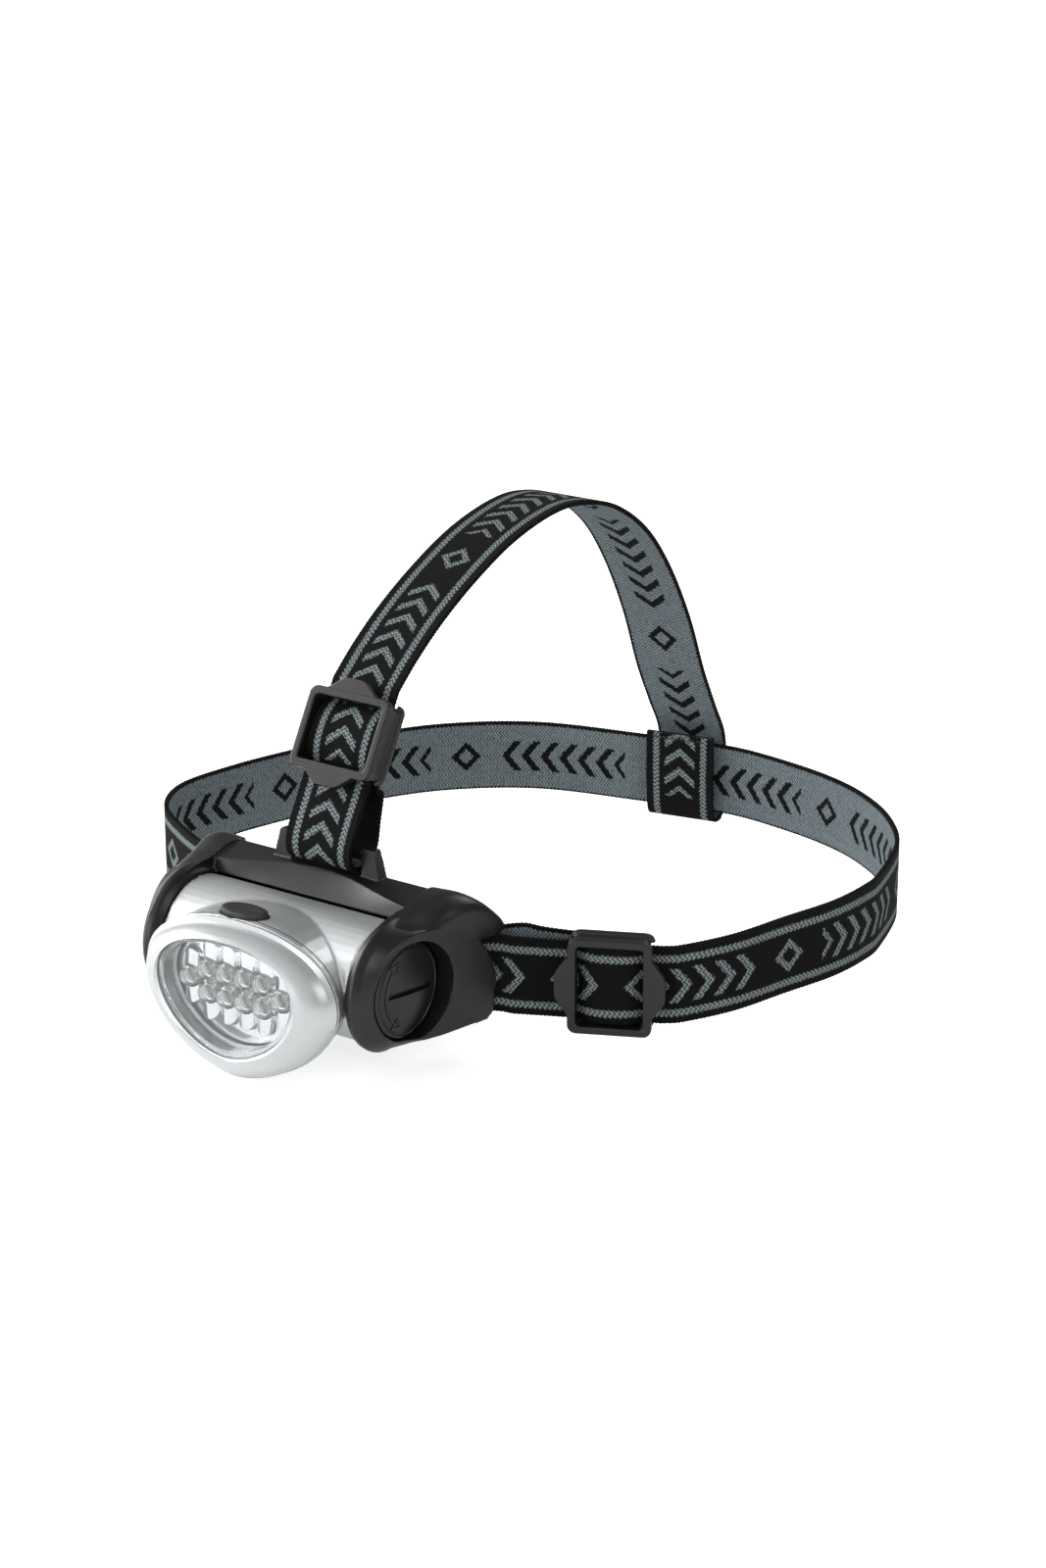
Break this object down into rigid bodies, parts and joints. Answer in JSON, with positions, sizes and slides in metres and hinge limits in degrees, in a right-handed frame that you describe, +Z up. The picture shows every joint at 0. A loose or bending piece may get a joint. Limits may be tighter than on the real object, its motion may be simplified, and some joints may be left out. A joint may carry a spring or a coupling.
{
  "type": "headlamp",
  "caption": "Headlamp: an oval lamp head with round light-emitting diodes, tilting in a forked bracket, on an adjustable elastic headband with a strap over the crown.",
  "frame": {"origin": "middle of the forehead pad's back face, where the lamp rests on its wearer", "axes": "+X along the lamp head's tilt axis to the battery cap, -Y the way the lamp shines, +Y back to the wearer's head, +Z up"},
  "size_m": [0.1934, 0.2036, 0.1182],
  "materials": {
    "black_plastic": "black satin moulded plastic",
    "silver_paint": "silver metallic paint over moulded plastic",
    "chrome": "vacuum-metallised plastic, bright",
    "clear_plastic": "clear polycarbonate",
    "led_resin": "clear epoxy",
    "rubber": "matt black silicone",
    "webbing": "woven elastic, black outside and grey-blue inside",
    "foam": "fabric-faced foam",
    "circuit_board": "green solder mask",
    "steel": "zinc plated",
    "brass": "plain",
    "cell_sleeve": "printed shrink sleeve",
    "carrier_plastic": "black moulded plastic",
    "red_wire": "insulated wire",
    "black_wire": "insulated wire"
  },
  "bodies": {
    "bracket": {"bracket_frame": "black_plastic", "back_plate": "black_plastic", "plate_screw_1": "steel", "plate_screw_2": "steel", "plate_screw_3": "steel", "plate_screw_4": "steel", "forehead_pad": "foam", "headband": "webbing", "top_strap": "webbing"},
    "lamp_head": {"lamp_housing": "silver_paint", "pivot_plug": "black_plastic", "bezel": "silver_paint", "lens": "clear_plastic", "lens_seal": "rubber", "reflector": "chrome", "led_board": "circuit_board", "led_01": "led_resin", "led_02": "led_resin", "led_03": "led_resin", "led_04": "led_resin", "led_05": "led_resin", "led_06": "led_resin", "led_07": "led_resin", "led_08": "led_resin", "led_09": "led_resin", "led_10": "led_resin", "tact_switch": "carrier_plastic", "cell_1": "cell_sleeve", "cell_2": "cell_sleeve", "cell_3": "cell_sleeve", "battery_carrier": "carrier_plastic", "contact_spring": "steel", "wire_red": "red_wire", "wire_black": "black_wire"},
    "push_button": {"push_button": "rubber"},
    "cap_plug": {"contact_disc": "brass", "cap_seal": "rubber"},
    "battery_cap": {"battery_cap": "black_plastic"},
    "buckle_side": {"buckle_side": "black_plastic"},
    "buckle_top": {"buckle_top": "black_plastic"}
  },
  "joints": [
    {"name": "head_tilt", "type": "hinge", "parent": "bracket", "child": "lamp_head", "pos_m": [0, -0.0255, 0], "axis": [1, 0, 0], "range_deg": [0, 50]},
    {"name": "button_press", "type": "slide", "parent": "lamp_head", "child": "push_button", "axis": [0, 0, -1], "range_m": [0, 0.0008]},
    {"name": "cap_pull", "type": "slide", "parent": "lamp_head", "child": "cap_plug", "axis": [1, 0, 0], "range_m": [0, 0.02]},
    {"name": "cap_turn", "type": "hinge", "parent": "cap_plug", "child": "battery_cap", "pos_m": [0.036, -0.0255, 0], "axis": [1, 0, 0], "range_deg": [0, 90]},
    {"name": "side_buckle_slide", "type": "slide", "parent": "bracket", "child": "buckle_side", "axis": [0.8988, 0.4384, 0], "range_m": [-0.01, 0.002]},
    {"name": "top_buckle_slide", "type": "slide", "parent": "bracket", "child": "buckle_top", "axis": [0, 0.4909, 0.8712], "range_m": [-0.006, 0.003]}
  ]
}
